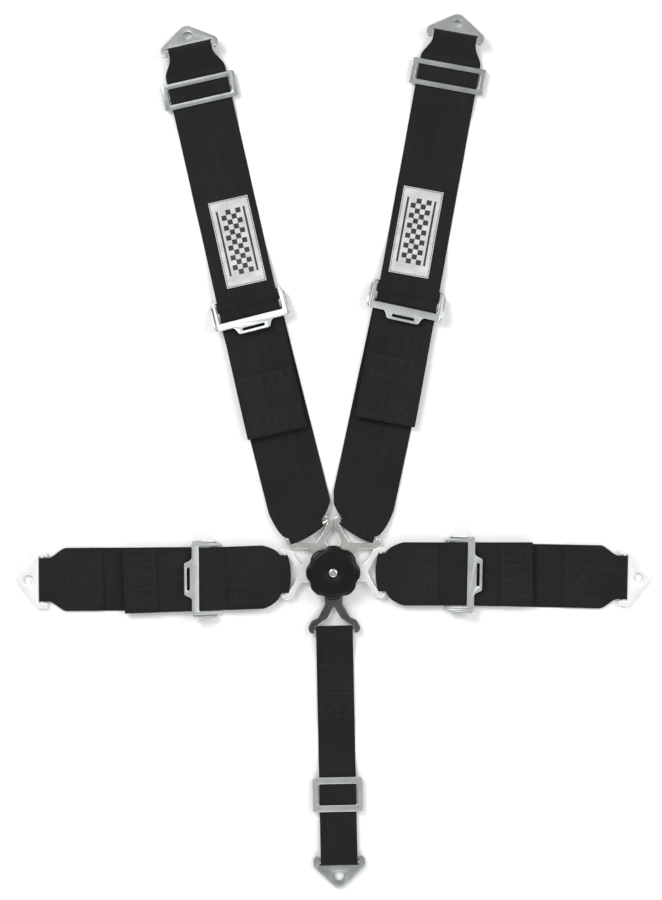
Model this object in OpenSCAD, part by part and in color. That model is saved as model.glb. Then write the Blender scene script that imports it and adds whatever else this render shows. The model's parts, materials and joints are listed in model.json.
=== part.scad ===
// Five-point harness laid out flat: a rotary cam buckle in the middle, two
// shoulder straps (+Y), two lap straps (-X and +X) and a crotch strap (-Y).
// Millimetres. The origin is the centre of the buckle's back face, and +Z
// points away from the wearer.

/* [Webbing] */
// Width of the lower shoulder webbing and of the lap webbing
wide_web = 77; // [72:0.5:77]
// Width of the upper shoulder webbing
upper_web = 74; // [68:0.5:75]
// Width of the crotch webbing
crotch_web = 45; // [40:0.5:45]
// Thickness of all webbing
web_t = 1.2; // [1:0.05:1.2]

/* [Buckle] */
// Radius over the lobes of the release knob
knob_r = 33; // [32:0.5:35]
// Height of the knob's top face
knob_top = 24; // [24:0.5:26]
// Turn of the knob from locked to released, in degrees
release_turn = 33; // [30:1:33]
// Lift of the latch pins
pin_lift = 4.2; // [3.9:0.1:4.3]

/* [Tongues] */
// Thickness of the stamped tongues
tongue_t = 2.4; // [2:0.1:2.4]
// Half width of a tongue over its arms
tongue_half = 32; // [31:0.5:34]
// Distance from the buckle's centre to the crossbar of a shoulder or lap tongue
tongue_bar = 58; // [57:0.5:60]
// Distance from the buckle's centre to the crossbar of the crotch tongue
crotch_bar = 68; // [66:0.5:70]

/* [Brackets] */
// Thickness of the anchor brackets
bracket_t = 3; // [2.5:0.1:3.2]
// Radius of the bolt hole, for a 7/16 inch bolt
bolt_r = 5.95; // [5.7:0.05:6.2]
// Distance from the webbing bar to the bolt hole
bolt_offset = 16.7; // [16:0.1:18]

/* [Layout] */
// Distance from the left shoulder tongue to its adjuster
left_lower_len = 295; // [280:1:310]
// Distance from the right shoulder tongue to its adjuster
right_lower_len = 302; // [285:1:315]
// Distance from a shoulder adjuster to its anchor bracket
upper_len = 312; // [310:1:340]
// Distance from a lap tongue to its adjuster
lap_inner_len = 82; // [80:1:90]
// Distance from a lap adjuster to its anchor bracket
lap_outer_len = 215; // [200:1:230]
// Distance from the crotch tongue to its anchor bracket
crotch_len = 285; // [280:1:300]

/* [Hidden] */
$fn = 48;

// Heights
base_t = 2;
housing_top = 9.2;
tongue_z = 6.6;      // middle of the tongues and of their crossbars
bar_r = 1.8;         // all the round bars that webbing loops around
loop_r = 2.65;       // middle of the webbing where it loops around a bar
low_z = web_t / 2;             // webbing lying on the ground plane
double_z = low_z + web_t + 0.2; // a second layer above it
rear_bar_z = 3.4;    // rear bar of an adjuster
pass_z = 7.55;       // webbing that passes over the lock bar
hem_z = pass_z + web_t + 0.2;
frame_tilt = 15;     // slope of an adjuster frame

// Buckle
pin_ring = 19;       // radius of the ring of latch pins
pin_r = 2.5;
housing_r = 31;
cover_top = 20.6;
screw_ring = 26;

// Arms: [angle of the tongue, sideways shift of the webbing on its crossbar,
//        angle of the first strap, angle of the second strap]
SHOULDER_LEFT = [120, 4.5, 104.2, 102.8];
SHOULDER_RIGHT = [60, -0.3, 77.9, 79.7];
LAP_LEFT = [182, 2.7, 182, 180.4];
LAP_RIGHT = [0, -1.8, 0, -1.2];
crotch_angle = -88.8;

// Distances along the upper shoulder webbing from its adjuster, [left, right]
slide_at = [259, 263];
hem_span = [[92, 168], [83, 164]];
// How far each lap tail, left and right, runs past its adjuster, and its hem
lap_tails = [114, 102];
lap_hem = 40;
label_span = [16, 123];
label_w = 49;
label_shift = 4;
// Distance of the crotch slide from the buckle's centre
crotch_slide_at = 270.6;
narrow = 23;         // half width of webbing folded into a tongue
bracket_narrow = 26.5;
shoulder_bracket_z = 15.7;
flat_bracket_z = 3.5;

// ---- plane geometry ----

function unit(v) = v / norm(v);
function turn(v, a) = [v[0] * cos(a) - v[1] * sin(a), v[0] * sin(a) + v[1] * cos(a)];
function reverse(list) = [for (i = [len(list) - 1 : -1 : 0]) list[i]];
function arc(c, r, a0, a1, n) =
    [for (i = [0 : n]) c + r * [cos(a0 + (a1 - a0) * i / n), sin(a0 + (a1 - a0) * i / n)]];

// Points of the round corner of radius r at p1, between p0 and p2
function corner(p0, p1, p2, r, n = 5) =
    r == 0 ? [p1] :
    let (d0 = unit(p0 - p1), d2 = unit(p2 - p1), half = acos(d0 * d2) / 2,
         c = p1 + unit(d0 + d2) * r / sin(half),
         s = p1 + d0 * r / tan(half) - c, e = p1 + d2 * r / tan(half) - c,
         a0 = atan2(s[1], s[0]), da = atan2(s[0] * e[1] - s[1] * e[0], s * e))
    arc(c, r, a0, a0 + da, n);

// Closed outline with round corners, from points [x, y, radius]
function rounded(pts) =
    let (n = len(pts), xy = [for (p = pts) [p[0], p[1]]])
    [for (i = [0 : n - 1])
        each corner(xy[(i + n - 1) % n], xy[i], xy[(i + 1) % n], pts[i][2])];

// Both sides of a plate from the points of its +Y side, front to back
function mirrored(half) =
    concat(half, [for (p = reverse(half)) [p[0], -p[1], p[2]]]);

// A path moved sideways by d, with mitred corners
function beside(path, d) =
    let (n = len(path))
    [for (i = [0 : n - 1])
        let (a = unit(path[min(i + 1, n - 1)] - path[min(i, n - 2)]),
             b = unit(path[max(i, 1)] - path[max(i - 1, 0)]),
             m = unit(a + b))
        path[i] + turn(m, 90) * d / (m * a)];

// Outline of a band of thickness t along a path
function band(path, t) = concat(beside(path, t / 2), reverse(beside(path, -t / 2)));

// Angle at which the straight line from p touches the circle c, r
function touch(c, r, p, side) =
    let (v = p - c) atan2(v[1], v[0]) + side * acos(r / norm(v));

// Arc of webbing around a bar at c, entered from p_in below and left to p_out
// above, passing the bar on its -X side
function loop(c, p_in, p_out) =
    arc(c, loop_r, touch(c, loop_r, p_in, -1), touch(c, loop_r, p_out, 1) - 360, 14);

// ---- building blocks ----

// Turns a side outline (x along the strap, y up) into a solid of width 2 * half
module side_solid(outline, half) {
    rotate([90, 0, 0]) translate([0, 0, -half]) linear_extrude(2 * half) polygon(outline);
}

// Places a child at a strap's start, along the strap
module along(point, angle) {
    translate([point[0], point[1], 0]) rotate([0, 0, angle]) children();
}

module mirror_copy() {
    children();
    mirror([0, 1, 0]) children();
}

// Straight round bar along Y
module cross_bar(half, z = 0) {
    translate([0, -half, z]) rotate([-90, 0, 0]) cylinder(r = bar_r, h = 2 * half);
}

// Coil spring along Z as one closed tube
module coil(r, wire_r, turns, rise, steps = 14, sides = 5) {
    n = ceil(turns * steps);
    pts = [for (i = [0 : n]) for (k = [0 : sides - 1])
        let (a = 360 * turns * i / n, q = r + wire_r * cos(360 * k / sides))
        [q * cos(a), q * sin(a), rise * i / n + wire_r * sin(360 * k / sides)]];
    walls = [for (i = [0 : n - 1]) for (k = [0 : sides - 1])
        let (k2 = (k + 1) % sides)
        [i * sides + k, (i + 1) * sides + k, (i + 1) * sides + k2, i * sides + k2]];
    polyhedron(pts, concat([[for (k = [0 : sides - 1]) k]], walls,
        [[for (k = [sides - 1 : -1 : 0]) n * sides + k]]), convexity = 6);
}

// ---- places ----

function tongue_point(arm) = turn([tongue_bar, arm[1]], arm[0]);
function strap_end(arm, length) =
    tongue_point(arm) + turn([length, 0], arm[2]);
shoulder_left_at = strap_end(SHOULDER_LEFT, left_lower_len);
shoulder_right_at = strap_end(SHOULDER_RIGHT, right_lower_len);
lap_left_at = strap_end(LAP_LEFT, lap_inner_len);
lap_right_at = strap_end(LAP_RIGHT, lap_inner_len);

// ---- buckle ----

module ring_of(angles, r) {
    for (a = angles) rotate([0, 0, a]) translate([r, 0, 0]) children();
}

port_angles = [SHOULDER_LEFT[0], SHOULDER_RIGHT[0], LAP_LEFT[0], LAP_RIGHT[0], crotch_angle];
screw_angles = [for (k = [0 : 5]) 30 + 60 * k];

module base_plate() {
    color("#4a4c50") difference() {
        cylinder(r = housing_r, h = base_t);
        ring_of(screw_angles, screw_ring) {
            translate([0, 0, -1]) cylinder(r = 3.1, h = 2.2);
            cylinder(r = 1.6, h = base_t + 1);
        }
    }
}

// Room for a tongue's nose and neck inside the housing
module port() {
    gap = 0.5;
    translate([0, 0, tongue_z - tongue_t / 2 - 0.3]) linear_extrude(tongue_t + 0.6)
        polygon([[11.5, -3], [14, -6.5 - gap], [24.5, -6.5 - gap], [28, -11 - gap], [34, -11 - gap],
                 [34, 11 + gap], [28, 11 + gap], [24.5, 6.5 + gap], [14, 6.5 + gap], [11.5, 3]]);
}

module buckle_housing() {
    color("#3b3d40") difference() {
        translate([0, 0, base_t]) cylinder(r = housing_r, h = housing_top - base_t);
        for (a = port_angles) rotate([0, 0, a]) port();
        ring_of(port_angles, pin_ring) translate([0, 0, 3.9]) cylinder(r = pin_r + 0.05, h = 10);
        ring_of(screw_angles, screw_ring) translate([0, 0, 1]) cylinder(r = 1.6, h = 4.2);
        translate([0, 0, 3]) cylinder(r = 3, h = 10);
    }
}

module inner_cover() {
    color("#6a6c70") rotate_extrude()
        polygon([[25.5, housing_top], [27, housing_top], [27, cover_top], [8, cover_top],
                 [8, cover_top - 1], [25.5, cover_top - 1]]);
}

module spindle() {
    color("#d0d2d4") {
        translate([0, 0, 3]) cylinder(r = 3, h = knob_top - 2.5);
        rotate_extrude() polygon([[0, knob_top + 0.3], [5.5, knob_top + 0.3], [5.3, knob_top + 1.3],
            [4.4, knob_top + 2.1], [2.6, knob_top + 2.6], [0, knob_top + 2.8]]);
    }
}

// Height of the cam's ramp at angle q past the latch pin's place. The ramp is
// late by 'lead', the angle that a pin's head spans over the cam's rim.
lead = 10.5;
function ramp_h(q) = pin_lift * max(0, min(1, (release_turn - lead - q) / release_turn));

module release_cam() {
    step = 5;
    color("#b9bbbd") difference() {
        union() {
            translate([0, 0, 9.4]) cylinder(r = 16.2, h = 1);
            translate([0, 0, 9.4]) cylinder(r = 7.5, h = knob_top - 3 - 9.4);
            for (a = [SHOULDER_LEFT[0], SHOULDER_RIGHT[0], LAP_RIGHT[0], crotch_angle])
                for (q = [-13 : step : release_turn - lead - step])
                    translate([0, 0, 10]) linear_extrude(0.25 + ramp_h(q + step))
                        polygon(concat(arc([0, 0], 13.2, a + q, a + q + step, 2),
                                       arc([0, 0], 16, a + q + step, a + q, 2)));
        }
        cylinder(r = 3.05, h = 40);
    }
}

module knob() {
    lobes = 8;
    color("#141414") difference() {
        rotate_extrude() polygon([[3.3, knob_top - 3], [28.5, knob_top - 3], [28.5, 9.6],
            [knob_r, 9.6], [knob_r, knob_top - 4], [knob_r - 0.8, knob_top - 1.8],
            [knob_r - 2.6, knob_top - 0.4], [knob_r - 4.5, knob_top], [3.3, knob_top]]);
        for (i = [0 : lobes - 1]) rotate([0, 0, 22.5 + 360 / lobes * i])
            translate([knob_r + 7, 0, 0]) cylinder(r = 9, h = 40);
    }
}

module return_spring() {
    color("#c4c6c8") translate([0, 0, 11.4]) coil(10, 0.7, 4, 7);
}

module housing_screws() {
    color("#8a8c90") ring_of(screw_angles, screw_ring) {
        translate([0, 0, 0.1]) cylinder(r = 3, h = 1);
        translate([0, 0, 0.1]) cylinder(r = 1.5, h = 4.8);
    }
}

module fixed_tongue_pin() {
    color("#b9bbbd") rotate([0, 0, LAP_LEFT[0]]) translate([pin_ring, 0, 3.9])
        cylinder(r = pin_r, h = housing_top - 3.9);
}

module latch_pin(angle) {
    color("#c9cbcd") rotate([0, 0, angle]) translate([pin_ring, 0, 0]) {
        translate([0, 0, 8.3]) cylinder(r = pin_r, h = 7);
        translate([0, 0, 14.85]) cylinder(r = 5, h = 1.5);
    }
}

module latch_spring(angle) {
    color("#c4c6c8") rotate([0, 0, angle]) translate([pin_ring, 0, 16.85]) coil(3.4, 0.4, 2.5, 2.3);
}

// ---- tongues ----

// Stamped tongue along +X from the buckle, with its crossbar at bar_x
module tongue(angle, bar_x) {
    w = tongue_half;
    outline = rounded(mirrored([
        [12.5, 6.5, 6], [24.5, 6.5, 2], [29, 11, 3], [43.5, 11, 4],
        [50.5, 20, 4], [55, w - 4, 3], [bar_x + 1, w, 4], [bar_x + 6, w - 4, 3]]));
    window = rounded([
        [45.5, 0, 1.5], [bar_x - 4, narrow - 1, 2], [bar_x - 2, narrow + 1.5, 1],
        [bar_x + 8, narrow + 1.5, 0],
        [bar_x + 8, -narrow - 1.5, 0], [bar_x - 2, -narrow - 1.5, 1],
        [bar_x - 4, 1 - narrow, 2]]);
    color("#a8abad") rotate([0, 0, angle]) {
        difference() {
            translate([0, 0, tongue_z - tongue_t / 2]) linear_extrude(tongue_t) polygon(outline);
            translate([0, 0, tongue_z - tongue_t]) linear_extrude(2 * tongue_t) polygon(window);
            translate([pin_ring, 0, 0]) cylinder(r = pin_r + 0.7, h = 12);
        }
        translate([bar_x, 0, 0]) cross_bar(narrow + 3.5, tongue_z);
    }
}

// ---- anchor brackets ----

// Bracket with its webbing bar at the origin and its tip towards +X
module bracket(tilt, bar_z, reach = 36) {
    inner = reach - 8;
    outline = rounded(mirrored([
        [bolt_offset + 14, 7.5, 6], [5, reach, 7], [-7.3, reach, 3]]));
    color("#c2c5c8") translate([0, 0, bar_z]) rotate([0, tilt, 0]) {
        difference() {
            translate([0, 0, -bracket_t / 2]) linear_extrude(bracket_t) polygon(outline);
            translate([-10, -inner, -bracket_t]) cube([13.9, 2 * inner, 2 * bracket_t]);
            translate([bolt_offset, 0, -5]) cylinder(r = bolt_r, h = 10);
        }
        cross_bar(inner + 1);
    }
}

// ---- adjusters ----

// Tilt-lock frame, with its rear bar at the origin and its front towards +X
module adjuster() {
    rail_in = 39.7;
    rail_out = 45.5;
    front = 24.2;
    color("#bfc2c5") translate([0, 0, rear_bar_z]) rotate([0, -frame_tilt, 0]) {
        difference() {
            union() {
                translate([0, 0, -1]) linear_extrude(2) polygon(rounded(mirrored([
                    [42.7, 21, 4], [33.2, 27, 3], [33.2, rail_out, 3], [-4, rail_out, 3]])));
                mirror_copy() translate([4, rail_out - 2, 0]) cube([21, 2, 7]);
            }
            translate([-5, -rail_in, -3]) cube([5 + front, 2 * rail_in, 6]);
            translate([8.5, -42.6, -3]) cube([14, 85.2, 6]);
            translate([36, -14, -3]) cube([3.6, 28, 6]);
        }
        cross_bar(rail_in + 1.5);
    }
}

// Flat bar that pinches the webbing against the front of the adjuster
module lock_bar() {
    color("#9a9da0") translate([15.5, 0, 5.45]) mirror_copy() {
        translate([-5, -0.01, -1.2]) cube([10, 42.01, 2.4]);
    }
}

// ---- three-bar slides ----

// Slide with outer size length x width (X x Y) and a window for the webbing
module slide(length, width, window_l, window_w) {
    leg = 2.4;
    color("#b6b9bc") {
        difference() {
            translate([0, 0, 4.9]) linear_extrude(2) polygon(rounded(mirrored([
                [length / 2, width / 2, 4], [-length / 2, width / 2, 4]])));
            translate([-window_l / 2, -window_w / 2, 0]) cube([window_l, window_w, 10]);
        }
        translate([-3.5, -window_w / 2 - leg, 0.3]) cube([7, window_w + 2 * leg, 1.4]);
        mirror_copy() translate([-3.5, window_w / 2 + 0.3, 0.3]) cube([7, leg - 0.3, 5]);
    }
}

// ---- webbing ----

// First strap of a shoulder: looped on the tongue and on the adjuster's rear bar
module lower_webbing(arm, length) {
    bar = [tongue_bar, tongue_z];
    back_end = [126, low_z];
    p_in = [98, low_z];
    p_out = [106, double_z];
    tongue_path = concat([back_end, p_in], loop(bar, p_in, p_out),
        [p_out, [130, double_z], [142, low_z], [173, low_z]]);
    rear = [0, rear_bar_z];
    r_in = [10, low_z];
    r_out = [12, 2.6];
    rear_path = concat([[length - 99, low_z], r_in], loop(rear, r_in, r_out),
        [r_out, [18, double_z], [62, double_z]]);
    lean = arm[2] - arm[0];
    start = [tongue_bar, arm[1]];
    // a point on the strap's side s, at distance q along it, in the tongue's frame
    edge = function (s, q) start + turn([q, s * wide_web / 2], lean);
    // the side facing the other shoulder strap tapers over a greater length
    taper = lean < 0 ? [34, 22] : [22, 36];
    shape = [[tongue_bar - 8, -narrow], [tongue_bar + 7, -narrow], edge(-1, taper[0]),
             edge(-1, length + 6), edge(1, length + 6), edge(1, taper[1]),
             [tongue_bar + 7, narrow], [tongue_bar - 8, narrow]];
    color("#232326") intersection() {
        union() {
            rotate([0, 0, arm[0]]) side_solid(band(tongue_path, web_t), 70);
            along(strap_end(arm, length), arm[2] + 180) side_solid(band(rear_path, web_t), 60);
        }
        rotate([0, 0, arm[0]]) translate([0, 0, -5]) linear_extrude(30) polygon(shape);
    }
}

// Path of an upper shoulder strap: +X towards the buckle, adjuster at x = 0
function upper_path(side, reach) =
    let (s = slide_at[side], hem = hem_span[side],
         eye = [-reach, shoulder_bracket_z], top_z = 4, under_z = top_z - web_t - 0.2,
         p_out = [-(s + 25), top_z], p_in = [-(s + 25), under_z])
    concat([[hem[0], hem_z], [hem[1], hem_z], [hem[1], pass_z], [-25, pass_z], [-60, low_z],
            [-(s - 48), low_z], [-(s - 36), top_z], p_out],
        reverse(loop(eye, p_in, p_out)),
        [p_in, [-(s - 32), under_z]]);

module upper_webbing(point, angle, side) {
    n = bracket_narrow;
    w = upper_web / 2;
    far = upper_len;
    color("#232326") along(point, angle + 180) intersection() {
        side_solid(band(upper_path(side, far), web_t), w + 1);
        translate([0, 0, -5]) linear_extrude(40) polygon([
            [-far - 6, -n], [-far + 8.5, -n], [-far + 24, -w], [200, -w],
            [200, w], [-far + 24, w], [-far + 8.5, n], [-far - 6, n]]);
    }
}

// Blank woven label that follows the upper webbing's top face
module label(point, angle, shift) {
    path = [[0, pass_z], [-25, pass_z], [-60, low_z], [-200, low_z]];
    skin = 0.5;
    sheet = concat(beside(path, -web_t / 2), reverse(beside(path, -web_t / 2 - skin)));
    color("#b9bcbc") along(point, angle + 180) intersection() {
        side_solid(sheet, 60);
        translate([-label_span[1], shift - label_w / 2, -5])
            cube([label_span[1] - label_span[0], label_w, 20]);
    }
}

// First strap of a lap belt: +X outwards, adjuster at x = 0
module inner_webbing(arm, point, tail_end) {
    bar = [-lap_inner_len, tongue_z];
    p_in = [-32, pass_z];
    p_out = [-44, hem_z];
    path = concat([[tail_end - lap_hem, hem_z], [tail_end, hem_z], [tail_end, pass_z], p_in],
        loop(bar, p_in, p_out), [p_out, [-11, hem_z]]);
    w = wide_web / 2;
    shift = arm[1];
    color("#232326") along(point, arm[2]) intersection() {
        side_solid(band(path, web_t), w + 1);
        translate([0, 0, -5]) linear_extrude(30) polygon([
            [bar[0] - 8, -narrow - shift], [bar[0] + 7, -narrow - shift], [bar[0] + 26, -w], [130, -w],
            [130, w], [bar[0] + 26, w], [bar[0] + 7, narrow - shift], [bar[0] - 8, narrow - shift]]);
    }
}

// Second strap of a lap belt, looped on the adjuster's rear bar and the bracket
module outer_webbing(point, angle) {
    far = lap_outer_len;
    rear = [0, rear_bar_z];
    r_in = [10, low_z];
    r_out = [12, 2.6];
    eye = [far, flat_bracket_z];
    // the bracket loop is the adjuster loop turned round, so its path is mirrored in x
    e_in = [-10, low_z];
    e_out = [-14, double_z + 0.6];
    flip = function (p) [-p[0], p[1]];
    eye_loop = [for (p = loop([0, flat_bracket_z], flip(e_in), flip(e_out))) [far, 0] + flip(p)];
    path = concat([[62, double_z], [18, double_z], r_out], reverse(loop(rear, r_in, r_out)),
        [r_in, [far, 0] + e_in], eye_loop,
        [[far, 0] + e_out, [far - 24, double_z], [far - 75, double_z]]);
    n = bracket_narrow;
    w = wide_web / 2;
    color("#232326") along(point, angle) intersection() {
        side_solid(band(path, web_t), w + 1);
        translate([0, 0, -5]) linear_extrude(30) polygon([
            [-6, -w], [far - 24, -w], [far - 8.5, -n], [far + 6, -n],
            [far + 6, n], [far - 8.5, n], [far - 24, w], [-6, w]]);
    }
}

// Crotch strap: +X away from the buckle, from the buckle's centre
module crotch_webbing() {
    bar = [crotch_bar, tongue_z];
    far = crotch_bar + crotch_len;
    eye = [far, flat_bracket_z];
    s = crotch_slide_at;
    p_in = [100, low_z];
    p_out = [106, double_z];
    flip = function (p) [-p[0], p[1]];
    e_top = [s + 34, 4];
    e_low = [s + 34, 2.6];
    eye_loop = [for (p = loop([0, flat_bracket_z], flip(e_low - [far, 0]), flip(e_top - [far, 0])))
        [far, 0] + flip(p)];
    path = concat([[178, low_z], p_in], loop(bar, p_in, p_out),
        [p_out, [182, double_z], [194, low_z], [s - 48, low_z], [s - 36, 4], e_top],
        reverse(eye_loop), [e_low, [s - 33, 2.6]]);
    w = crotch_web / 2;
    color("#232326") rotate([0, 0, crotch_angle]) side_solid(band(path, web_t), w);
}

// ---- drawing ----

module slide_on(point, angle, distance) {
    along(point, angle) translate([distance, 0, 0]) slide(32, 92, 19, 78);
}
module bracket_on(point, angle, distance, tilt, bar_z, reach = 36) {
    along(point, angle) translate([distance, 0, 0]) bracket(tilt, bar_z, reach);
}

base_plate();
buckle_housing();
inner_cover();
spindle();
release_cam();
knob();
return_spring();
housing_screws();
fixed_tongue_pin();

latch_pin(SHOULDER_LEFT[0]);  // latch_pin_shoulder_left
latch_pin(SHOULDER_RIGHT[0]);  // latch_pin_shoulder_right
latch_pin(LAP_RIGHT[0]);  // latch_pin_lap_right
latch_pin(crotch_angle);  // latch_pin_crotch
latch_spring(SHOULDER_LEFT[0]);  // latch_spring_shoulder_left
latch_spring(SHOULDER_RIGHT[0]);  // latch_spring_shoulder_right
latch_spring(LAP_RIGHT[0]);  // latch_spring_lap_right
latch_spring(crotch_angle);  // latch_spring_crotch

tongue(SHOULDER_LEFT[0], tongue_bar);  // shoulder_left_tongue
lower_webbing(SHOULDER_LEFT, left_lower_len);  // shoulder_left_lower_webbing
along(shoulder_left_at, SHOULDER_LEFT[2] + 180) adjuster();  // shoulder_left_adjuster
along(shoulder_left_at, SHOULDER_LEFT[2] + 180) lock_bar();  // shoulder_left_lock_bar
upper_webbing(shoulder_left_at, SHOULDER_LEFT[3], 0);  // shoulder_left_upper_webbing
label(shoulder_left_at, SHOULDER_LEFT[3], label_shift);  // shoulder_left_label
slide_on(shoulder_left_at, SHOULDER_LEFT[3], slide_at[0]);  // shoulder_left_slide
bracket_on(shoulder_left_at, SHOULDER_LEFT[3], upper_len, 28, shoulder_bracket_z);  // shoulder_left_bracket

tongue(SHOULDER_RIGHT[0], tongue_bar);  // shoulder_right_tongue
lower_webbing(SHOULDER_RIGHT, right_lower_len);  // shoulder_right_lower_webbing
along(shoulder_right_at, SHOULDER_RIGHT[2] + 180) adjuster();  // shoulder_right_adjuster
along(shoulder_right_at, SHOULDER_RIGHT[2] + 180) lock_bar();  // shoulder_right_lock_bar
upper_webbing(shoulder_right_at, SHOULDER_RIGHT[3], 1);  // shoulder_right_upper_webbing
label(shoulder_right_at, SHOULDER_RIGHT[3], -label_shift);  // shoulder_right_label
slide_on(shoulder_right_at, SHOULDER_RIGHT[3], slide_at[1]);  // shoulder_right_slide
bracket_on(shoulder_right_at, SHOULDER_RIGHT[3], upper_len, 28, shoulder_bracket_z);  // shoulder_right_bracket

tongue(LAP_LEFT[0], tongue_bar);  // lap_left_tongue
inner_webbing(LAP_LEFT, lap_left_at, lap_tails[0]);  // lap_left_inner_webbing
along(lap_left_at, LAP_LEFT[3]) adjuster();  // lap_left_adjuster
along(lap_left_at, LAP_LEFT[3]) lock_bar();  // lap_left_lock_bar
outer_webbing(lap_left_at, LAP_LEFT[3]);  // lap_left_outer_webbing
bracket_on(lap_left_at, LAP_LEFT[3], lap_outer_len, 3.5, flat_bracket_z);  // lap_left_bracket

tongue(LAP_RIGHT[0], tongue_bar);  // lap_right_tongue
inner_webbing(LAP_RIGHT, lap_right_at, lap_tails[1]);  // lap_right_inner_webbing
along(lap_right_at, LAP_RIGHT[3]) adjuster();  // lap_right_adjuster
along(lap_right_at, LAP_RIGHT[3]) lock_bar();  // lap_right_lock_bar
outer_webbing(lap_right_at, LAP_RIGHT[3]);  // lap_right_outer_webbing
bracket_on(lap_right_at, LAP_RIGHT[3], lap_outer_len, 3.5, flat_bracket_z);  // lap_right_bracket

tongue(crotch_angle, crotch_bar);  // crotch_tongue
crotch_webbing();
rotate([0, 0, crotch_angle]) translate([crotch_slide_at, 0, 0]) slide(42.5, 61, 25.5, 47.5);  // crotch_slide
bracket_on([0, 0], crotch_angle, crotch_bar + crotch_len, 3.5, flat_bracket_z, 32);  // crotch_bracket
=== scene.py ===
"""Looks of the five-point racing harness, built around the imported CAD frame.

Lengths are in millimetres in the shape code, and become metres where a mesh is made.
Bars and directions come from the frame's joints, and bolt holes from its mounts. Lengths along
the straps that no joint states, such as where a slide sits or a hem ends, repeat part.scad's.
"""
import json
import math

import bmesh
import bpy
import numpy as np
from mathutils import Matrix, Vector, noise

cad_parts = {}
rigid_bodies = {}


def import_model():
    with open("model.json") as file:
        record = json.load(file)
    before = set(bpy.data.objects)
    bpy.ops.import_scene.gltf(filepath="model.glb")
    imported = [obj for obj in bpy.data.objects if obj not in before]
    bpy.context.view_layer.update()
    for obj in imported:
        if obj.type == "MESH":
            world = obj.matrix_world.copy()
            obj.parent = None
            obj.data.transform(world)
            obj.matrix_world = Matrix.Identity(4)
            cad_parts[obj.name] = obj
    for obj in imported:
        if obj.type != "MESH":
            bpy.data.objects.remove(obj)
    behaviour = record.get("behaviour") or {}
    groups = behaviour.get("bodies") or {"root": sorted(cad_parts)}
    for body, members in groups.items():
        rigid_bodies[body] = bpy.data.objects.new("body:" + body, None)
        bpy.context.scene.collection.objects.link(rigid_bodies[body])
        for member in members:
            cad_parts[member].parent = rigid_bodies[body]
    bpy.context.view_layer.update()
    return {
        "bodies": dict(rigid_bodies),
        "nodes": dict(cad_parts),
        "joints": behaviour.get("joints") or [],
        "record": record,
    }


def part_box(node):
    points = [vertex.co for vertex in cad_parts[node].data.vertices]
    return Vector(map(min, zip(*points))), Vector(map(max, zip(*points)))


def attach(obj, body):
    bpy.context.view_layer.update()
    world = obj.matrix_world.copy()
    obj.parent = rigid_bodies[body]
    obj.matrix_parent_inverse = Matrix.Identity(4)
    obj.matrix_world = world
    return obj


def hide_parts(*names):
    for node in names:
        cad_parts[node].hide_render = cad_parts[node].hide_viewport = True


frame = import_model()
MM = 0.001
JOINTS = {j["name"]: j for j in frame["joints"]}
MOUNTS = {m["name"]: m for m in frame["record"]["mounts"]}

# Sizes shared with the CAD, in millimetres
WEB_T = 1.2                 # thickness of the webbing
BAR_R = 1.8                 # radius of every crossbar
LOOP_R = 2.65               # radius of the webbing's middle line round a bar
TONGUE_Z = 6.6              # heights of a tongue's bar and an adjuster's rear bar
REAR_Z = 3.4
LOW = 0.62                  # heights of the webbing's middle line: on the ground, second layer,
DOUBLE = 2.0                # over an adjuster, and the hem folded on top of that
PASS = 7.55
HEM = 8.95
LOOP_END = 2.6              # height where a second layer leaves a loop
OVER_SLIDE = 4.0            # height where webbing runs over a slide's bar
NARROW = 23.0               # half widths: in a tongue, in a bracket, lap and lower, upper, crotch
BRACKET_NARROW = 26.5
WIDE = 38.5
UPPER = 37.0
CROTCH = 22.4
STRAP_GAP = 0.5             # least distance from the middle line to a shoulder strap's edge
SLIDE_AT = {"shoulder_left": 259.0, "shoulder_right": 263.0}
CROTCH_SLIDE_AT = 270.6
BRACKET_REACH = 36.0        # half width of a bracket over its ears
CROTCH_BRACKET_REACH = 32.0
ADJUSTER_LEAN = math.radians(15)
SEAM_LIFT = 0.05            # how far thread stands off the cloth
LAP_TAIL = {"lap_left": 114.0, "lap_right": 102.0}
LAP_HEM = 40.0
HEM_SPAN = {"shoulder_left": (92.0, 168.0), "shoulder_right": (83.0, 164.0)}


# ---------------------------------------------------------------- camera, light, floor

PHOTO_SCALE = 1.22          # millimetres that one picture element covers on the ground
IMAGE_H = 900               # height of the photograph in picture elements
VIEW_CENTRE = (-2.6, 149.0)  # millimetres
CAMERA_HEIGHT = 3.2          # metres


def make_camera():
    data = bpy.data.cameras.new("camera")
    data.sensor_fit = "VERTICAL"
    data.sensor_height = 24.0
    seen = IMAGE_H * PHOTO_SCALE * MM
    data.lens = data.sensor_height * CAMERA_HEIGHT / seen
    data.clip_end = 50.0
    cam = bpy.data.objects.new("camera", data)
    cam.location = (VIEW_CENTRE[0] * MM, VIEW_CENTRE[1] * MM, CAMERA_HEIGHT)
    bpy.context.scene.collection.objects.link(cam)
    bpy.context.scene.camera = cam


def area_light(name, location, size, watts, target=(0.0, 0.15, 0.0)):
    data = bpy.data.lights.new(name, "AREA")
    data.shape = "RECTANGLE"
    data.size, data.size_y = size
    data.energy = watts
    lamp = bpy.data.objects.new(name, data)
    lamp.location = location
    aim = Vector(target) - Vector(location)
    lamp.rotation_euler = aim.to_track_quat("-Z", "Y").to_euler()
    bpy.context.scene.collection.objects.link(lamp)


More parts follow.
